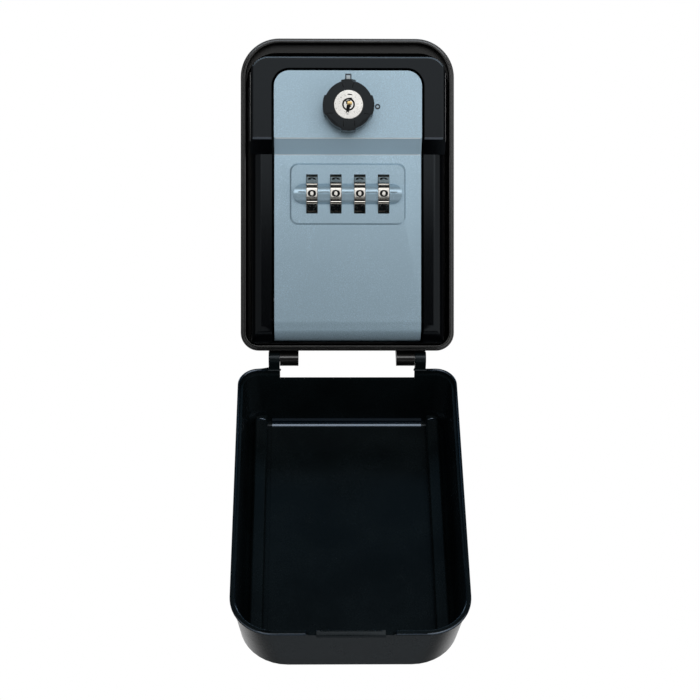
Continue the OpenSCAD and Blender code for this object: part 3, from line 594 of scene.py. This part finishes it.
def door_leaf():
    """The door, with the walls of its dial panel slanted outwards to their foot, and its step."""
    piece = merged("door", "door_leaf")
    half_w = PANEL_W / 2
    half_h = PANEL_H / 2

    def foot(vertex):
        across = abs(vertex.co.x)
        up = abs(vertex.co.z - DIAL_Z)
        inside = across < half_w + ON_LEVEL and up < half_h + ON_LEVEL
        corner = math.hypot(max(across - half_w + PANEL_R, 0), max(up - half_h + PANEL_R, 0))
        return abs(vertex.co.y + LOWER_FRONT) < 0.03 * MM and inside and corner > PANEL_R - 0.06 * MM

    pick(piece, foot)
    spread = (1 + 2 * PANEL_SLANT / PANEL_W, 1, 1 + 2 * PANEL_SLANT / PANEL_H)
    bpy.ops.transform.resize(value=spread, center_override=(0, -LOWER_FRONT, DIAL_Z))
    bpy.ops.object.mode_set(mode="OBJECT")
    rounded(piece, step_edge, DOOR_STEP_ROUND)
    eased(piece, "door", 0.3 * MM)

    def step(face):
        slanted = -0.85 < face.normal.y < -0.5 and face.normal.z < -0.5
        return STEP_FOOT < face.center.z < STEP_TOP and slanted

    def slot_wall(face):
        across = min(abs(face.center.x - dial_x(number)) for number in DIALS)
        up = abs(face.center.z - DIAL_Z)
        inside = across < SLOT_W / 2 + BY_LEVEL and up < SLOT_H / 2 + BY_LEVEL
        return inside and abs(face.normal.y) < 0.6 and face.center.y < -42 * MM

    # The slot walls are painted near-black: painted shade
    dressed(piece, SLOT_SHADE, slot_wall)
    # The lighter, non-metallic copy of the door paint on the slope: painted light
    dressed(piece, STEP_PAINTED_LIGHT, step)
    # A near-white paint on the door's step edges: a painted highlight
    dressed(piece, DOOR_STEP_HIGHLIGHT, step_wear)


def opened():
    """The turn that takes a place on the shut cover to the open cover."""
    out = Matrix.Translation(COVER_HINGE)
    return out @ Matrix.Rotation(COVER_OPEN, 4, "X") @ out.inverted()


def cover_shell():
    """The weather cover, with a rounded rim round its mouth that is rubbed bright."""
    piece = merged("weather_cover", "cover_shell")
    shut = opened().inverted()
    rounded(piece, lambda point: abs((shut @ point).y + COVER_RIM) < BY_LEVEL, RIM_ROUND)
    eased(piece, "weather_cover", 0.4 * MM)

    def rubbed(face):
        spot = shut @ face.center
        level = -COVER_RIM - 0.65 * MM < spot.y < -COVER_RIM + BY_LEVEL
        slanted = 0.15 < (shut.to_3x3() @ face.normal).y < 0.97
        return level and spot.z > COVER_ARMS_Z and slanted

    dressed(piece, COVER_POLISH, rubbed)


def shut_block(low, high):
    """A block between two corners, in millimetres, in the place that it has on the shut cover."""
    middle = (Vector(low) + Vector(high)) / 2
    bpy.ops.object.select_all(action="DESELECT")
    bpy.ops.mesh.primitive_cube_add(size=MM, location=middle * MM, scale=Vector(high) - Vector(low))
    bpy.ops.object.transform_apply(location=True, rotation=True, scale=True)
    return bpy.context.object


def cover_coves():
    """The hollow between the cover's floor and its hinge wall, and the arched ends of the two ribs."""
    cove = shut_block(*COVE_BLOCK)
    points = cove.data.vertices

    def inner_corner(edge):
        return all(points[i].co.y > -69 * MM and points[i].co.z > -71 * MM for i in edge.vertices)

    pick(cove, inner_corner, "EDGE")
    bpy.ops.mesh.bevel(offset=COVE_HOLLOW, segments=10, profile=0.08, affect="EDGES")
    bpy.ops.object.mode_set(mode="OBJECT")
    pieces = [smooth(cove, 40)]
    for side in (-1, 1):
        bpy.ops.object.select_all(action="DESELECT")
        bpy.ops.mesh.primitive_torus_add(
            location=(side * COVER_RIB_X, -ARCH_FRONT, ARCH_Z),
            major_radius=ARCH_RADIUS,
            minor_radius=ARCH_THICKNESS,
            major_segments=40,
            minor_segments=12,
        )
        arch = bpy.context.object
        bpy.ops.object.transform_apply(location=True, rotation=True, scale=True)
        pieces.append(smooth(arch))
    piece = joined(pieces)
    piece.data.transform(opened())
    settle(piece, "cover_coves", "cover", "cover", COVER_POLISH)


def catch_tab():
    """The slanted tab in the middle of the cover's rim."""
    tab = shut_block(*TAB_BLOCK)

    def front_edge(vertex):
        return vertex.co.y > -37 * MM and vertex.co.z > 78 * MM

    pick(tab, front_edge)
    bpy.ops.transform.translate(value=(0, -TAB_SLANT, 0))
    bpy.ops.object.mode_set(mode="OBJECT")
    finished(tab, "BEVEL", width=0.25 * MM, segments=3)
    tab.data.transform(opened())
    settle(smooth(tab), "catch_tab", "cover", "cover")


BLACK_PINS.on(frame["nodes"]["door_hinge_pins"])

tray_shell()
cast_body()
door_leaf()
cover_shell()
cover_coves()
catch_tab()
eased(merged("lock_cylinder", "lock_face"), "lock_cylinder", 0.3 * MM)


# Knob and key lock


def knob_grip():
    """The knob, with its front step drawn out to a chamfer."""
    piece = merged("knob", "knob_grip")
    step = -(KNOB_FRONT - KNOB_EDGE)

    def inner_foot(vertex):
        reach = math.hypot(vertex.co.x, vertex.co.z - KNOB_Z)
        return abs(vertex.co.y - step) < ON_LEVEL and reach < KNOB_FRONT_R

    pick(piece, inner_foot)
    bpy.ops.transform.translate(value=(0, -KNOB_EDGE, 0))
    bpy.ops.mesh.select_all(action="SELECT")
    bpy.ops.mesh.remove_doubles(threshold=0.02 * MM)
    bpy.ops.object.mode_set(mode="OBJECT")
    eased(piece, "knob", 0.25 * MM, steep=25)


def at_knob(x, z):
    """A point across and up from the knob's axis, from millimetres."""
    return (x * MM, KNOB_Z + z * MM)


def knob_seams():
    """Seams of the knob's two-part moulding."""
    lines = (
        ((-10.6, -4.2), (-7.4, -4.1)),
        ((7.5, -4.2), (9.9, -4.6)),
        ((-2.5, -7.7), (-2.5, -10.6)),
        ((2.9, -7.7), (3.1, -10.4)),
        ((-3.3, 10.6), (-2.3, 8.2)),
        ((2.7, 10.6), (1.8, 8.2)),
    )
    bars = [bar(at_knob(*start), at_knob(*end), 0.34 * MM, KNOB_FRONT, 0.03 * MM) for start, end in lines]
    settle(joined(bars), "knob_seams", "knob", "grip", INK_AND_PAINTED_SHADE)


def lock_marks():
    """The dash on the lock's face, and a black ring and bars as painted shade in the recesses round its
    plug.
    """
    # The first bar is the dash; the other two bars and the ring round the plug are black ink laid in its
    # recesses: painted shade
    marks = [
        bar(at_knob(-0.5, 4.9), at_knob(1.7, 4.7), 0.5 * MM, LOCK_FRONT, 0.03 * MM),
        bar(at_knob(0, 2.75), at_knob(1.7, 2.75), 1.0 * MM, LOCK_FRONT, 0.04 * MM),
        bar(at_knob(-0.3, -2.5), at_knob(-0.5, -4.0), 1.5 * MM, LOCK_FRONT, 0.04 * MM),
        ring(at_knob(0, 0), 2.7 * MM, 0.8 * MM, LOCK_FRONT),
    ]
    settle(joined(marks), "lock_marks", "knob", "bright", INK_AND_PAINTED_SHADE)
    tip = ring(at_knob(-0.5, -4.3), 0.5 * MM, 0.4 * MM, LOCK_FRONT)
    settle(tip, "keyway_lip", "knob", "bright")


def key_plug():
    """The plug's bright nose with the brass of its wards, and black bars laid in its keyway as painted
    shade.
    """
    nose = merged("key_plug", "plug_nose")
    eased(nose, "key_plug", 0.3 * MM)
    FINISHES["bright"].on(nose)
    wards = bar(at_knob(-0.6, 0.7), at_knob(1.7, 0.5), 1.7 * MM, PLUG_FRONT, 0.06 * MM)
    settle(wards, "plug_wards", "key_plug", "core")
    # Black bars where the keyway's hollow is: painted shade
    shadow = [
        bar(at_knob(0, -0.2), at_knob(-0.3, -2.4), 1.7 * MM, PLUG_FRONT, 0.08 * MM),
        bar(at_knob(-1.5, 1.5), at_knob(0.9, 1.9), 0.6 * MM, PLUG_FRONT, 0.07 * MM),
        bar(at_knob(-0.8, 1.4), at_knob(-0.9, 0.2), 0.6 * MM, PLUG_FRONT, 0.07 * MM),
    ]
    settle(joined(shadow), "plug_keyway_painted_shade", "key_plug", "core", INK_AND_PAINTED_SHADE)


def door_marks():
    """The two pressed marks that show where the knob's ends of travel are."""
    gate = [
        bar(at_knob(-1.1, 14.1), at_knob(-1.1, 16.7), 0.55 * MM, UPPER_FRONT, 0.03 * MM),
        bar(at_knob(-1.3, 16.6), at_knob(1.6, 16.6), 0.7 * MM, UPPER_FRONT, 0.04 * MM),
        bar(at_knob(1.4, 14.1), at_knob(1.4, 16.7), 0.55 * MM, UPPER_FRONT, 0.03 * MM),
        ring(at_knob(14.5, 0.8), 1.0 * MM, 0.7 * MM, UPPER_FRONT),
    ]
    settle(joined(gate), "door_marks", "door", "door", MARK_PAINT)
    fill = [
        bar(at_knob(-0.75, 14.7), at_knob(1.05, 14.7), 2.6 * MM, UPPER_FRONT, 0.05 * MM),
        bar(at_knob(14.2, 0.6), at_knob(14.9, 0.6), 0.7 * MM, UPPER_FRONT, 0.06 * MM),
    ]
    settle(joined(fill), "door_mark_fill", "door", "door", PALE_PAINT)


def reading_line():
    """The line along the bar at which the digits are read."""
    gaps = ((-24.4, -20.8), (-14.6, -9.0), (-2.8, 2.8), (9.0, 14.6), (20.8, 24.4))
    z = 0.1 * MM
    lines = [bar((start * MM, z), (end * MM, z), 0.42 * MM, BAR_FRONT, 0.04 * MM) for start, end in gaps]
    settle(joined(lines), "reading_line", "door", "door", MARK_PAINT)


knob_grip()
knob_seams()
lock_marks()
key_plug()
door_marks()
reading_line()


# Dials


def dial_wheel(number):
    """A ten-sided dial with a notch between each two flats, inked black as painted shade."""
    node = f"dial_{number}"
    piece = merged(node, f"dial_wheel_{number}")
    points = piece.data.vertices

    def corner(edge):
        first, second = (points[i].co for i in edge.vertices)
        level = math.hypot(first.y - second.y, first.z - second.z) < 0.01 * MM
        radius = math.hypot(first.y - DIAL_Y, first.z - DIAL_Z)
        return level and radius > DIAL_R - 0.3 * MM

    pick(piece, corner, "EDGE")
    bpy.ops.mesh.bevel(offset=NOTCH_WIDTH, segments=1, affect="EDGES")
    bpy.ops.mesh.select_mode(type="FACE")
    bpy.ops.mesh.inset(thickness=0.02 * MM, depth=-NOTCH_DEPTH, use_individual=True)
    bpy.ops.object.mode_set(mode="OBJECT")
    eased(piece, node, 0.14 * MM, segments=2, steep=25)

    def notch(face):
        turn = math.atan2(face.center.z - DIAL_Z, DIAL_Y - face.center.y) / DIAL_STEP
        between = abs(turn % 1 - 0.5) < NOTCH_SHARE
        radius = math.hypot(face.center.z - DIAL_Z, face.center.y - DIAL_Y)
        outwards = abs(face.normal.x) < 0.1
        return between and outwards and radius > 10 * MM

    # The notches between the flats are inked black: painted shade
    dressed(piece, INK_AND_PAINTED_SHADE, notch)


def digit(sign, step, x):
    """One inked digit on a dial's flat, turned round the dial's axis by its step."""
    bpy.ops.object.select_all(action="DESELECT")
    bpy.ops.object.text_add()
    text = bpy.context.object
    text.data.body = sign
    text.data.size = DIGIT_SIZE
    text.data.offset = DIGIT_BOLDNESS
    text.data.align_x = "CENTER"
    text.data.align_y = "CENTER"
    text.data.extrude = DIGIT_RISE
    bpy.ops.object.convert(target="MESH")
    glyph = bpy.context.object
    low = [min(v.co[i] for v in glyph.data.vertices) for i in range(2)]
    high = [max(v.co[i] for v in glyph.data.vertices) for i in range(2)]
    centred = Matrix.Translation((-(low[0] + high[0]) / 2, -(low[1] + high[1]) / 2, 0))
    upright = Matrix.Rotation(math.radians(90), 4, "X") @ Matrix.Diagonal((DIGIT_WIDENING, 1, 1, 1))
    on_flat = Matrix.Translation((0, -DIAL_FLAT, 0))
    turned = Matrix.Rotation(DIAL_STEP * step, 4, "X")
    at_dial = Matrix.Translation((x, DIAL_Y, DIAL_Z))
    glyph.data.transform(at_dial @ turned @ on_flat @ upright @ centred)
    return glyph


def dial_digits(number):
    """The ten digits of one dial as one piece."""
    glyphs = [digit(str(step), step, dial_x(number)) for step in range(10)]
    settle(joined(glyphs), f"dial_digits_{number}", f"dial_{number}", "dials", INK_AND_PAINTED_SHADE)


for number in DIALS:
    dial_wheel(number)
    dial_digits(number)


# Floor, light and camera


def softbox(name, place, aim, size, glow, tint=(1, 1, 1)):
    """A lamp of a width and height that looks at a point. A glow of 1 makes its face white."""
    look = Vector(aim) - Vector(place)
    turn = look.to_track_quat("-Z", "Y").to_euler()
    bpy.ops.object.light_add(type="AREA", location=place, rotation=turn)
    lamp = bpy.context.object
    lamp.name = name
    lamp.data.shape = "RECTANGLE"
    lamp.data.size, lamp.data.size_y = size
    lamp.data.energy = glow * math.pi * size[0] * size[1]
    lamp.data.color = tint


def studio_floor():
    """A pale floor well below the safe, which hangs on a wall."""
    bpy.ops.mesh.primitive_plane_add(size=1.6, location=(0, -0.2, -1.0))
    floor = bpy.context.object
    floor.name = "studio_floor"
    paper = Finish("floor_paper")
    fibre = paper.noise(300, 3)
    tone = paper.mix(fibre, (0.78, 0.78, 0.78, 1), (0.84, 0.84, 0.84, 1))
    sheet = paper.node("ShaderNodeBsdfDiffuse", None, {"Color": tone})
    glow = paper.node("ShaderNodeEmission", None, {"Color": (1, 1, 1, 1), "Strength": 1.0})
    seen = Shade(paper, paper.node("ShaderNodeLightPath").outputs["Is Camera Ray"])
    sockets = {0: seen * 0.8, 1: sheet.outputs[0], 2: glow.outputs[0]}
    mixed = paper.node("ShaderNodeMixShader", None, sockets)
    paper.node("ShaderNodeOutputMaterial", None, {"Surface": mixed.outputs[0]})
    paper.on(floor)


def studio_world():
    """White behind the safe for the camera and for reflections, and dim elsewhere."""
    world = bpy.data.worlds.new("studio")
    bpy.context.scene.world = world
    sky = Finish("studio", world)
    path = sky.node("ShaderNodeLightPath")
    seen = Shade(sky, path.outputs["Is Camera Ray"])
    glossy = Shade(sky, path.outputs["Is Glossy Ray"])
    clear = Shade(sky, path.outputs["Is Transmission Ray"])
    spot = sky.node("ShaderNodeTexCoord").outputs["Generated"]
    parts = sky.node("ShaderNodeSeparateXYZ", None, {0: spot})
    behind = Shade(sky, parts.outputs["Y"]).rise(0.7, 0.97)
    mirrored = glossy.maths("MAXIMUM", glossy, clear)
    ambient = 0.025
    strength = seen + (1 - seen) * (ambient + mirrored * behind * (1 - ambient))
    glow = sky.node("ShaderNodeBackground", None, {"Color": (1, 1, 1, 1), "Strength": strength})
    sky.node("ShaderNodeOutputWorld", None, {"Surface": glow.outputs[0]})


def photo_camera():
    """The camera in the photograph's place."""
    bpy.ops.object.camera_add(location=PHOTO_EYE)
    camera = bpy.context.object
    camera.rotation_euler = PHOTO_TURN
    camera.data.sensor_width = SENSOR_MM
    camera.data.lens = SENSOR_MM * PHOTO_FOCAL_PX / PHOTO_WIDTH_PX
    camera.data.clip_start = 0.01
    bpy.context.scene.camera = camera


studio_floor()
studio_world()
photo_camera()
softbox("front_panel", (0.06, -1.35, 0.48), (0, -0.05, 0.0), (1.3, 0.8), 1.15)
softbox("key_softbox", (0.12, -0.72, 0.5), (0, -0.05, 0), (0.8, 0.4), 1.5)
softbox("right_softbox", (0.8, -0.85, -0.3), (0, -0.04, 0), (1.5, 1.5), 0.74)
softbox("left_softbox", (-0.85, -0.85, -0.35), (0, -0.04, 0), (1.5, 1.5), 0.34)
softbox("sky_softbox", (0, 0.06, 1.0), (0, 0.06, 0), (1.2, 0.7), 0.26, (0.35, 0.7, 1.0))
softbox("rim_softbox", (0, 0.45, 0.8), (0, -0.03, 0), (1.6, 0.8), 1.4, (0.75, 0.88, 1.0))
bpy.context.scene.view_settings.view_transform = "Standard"
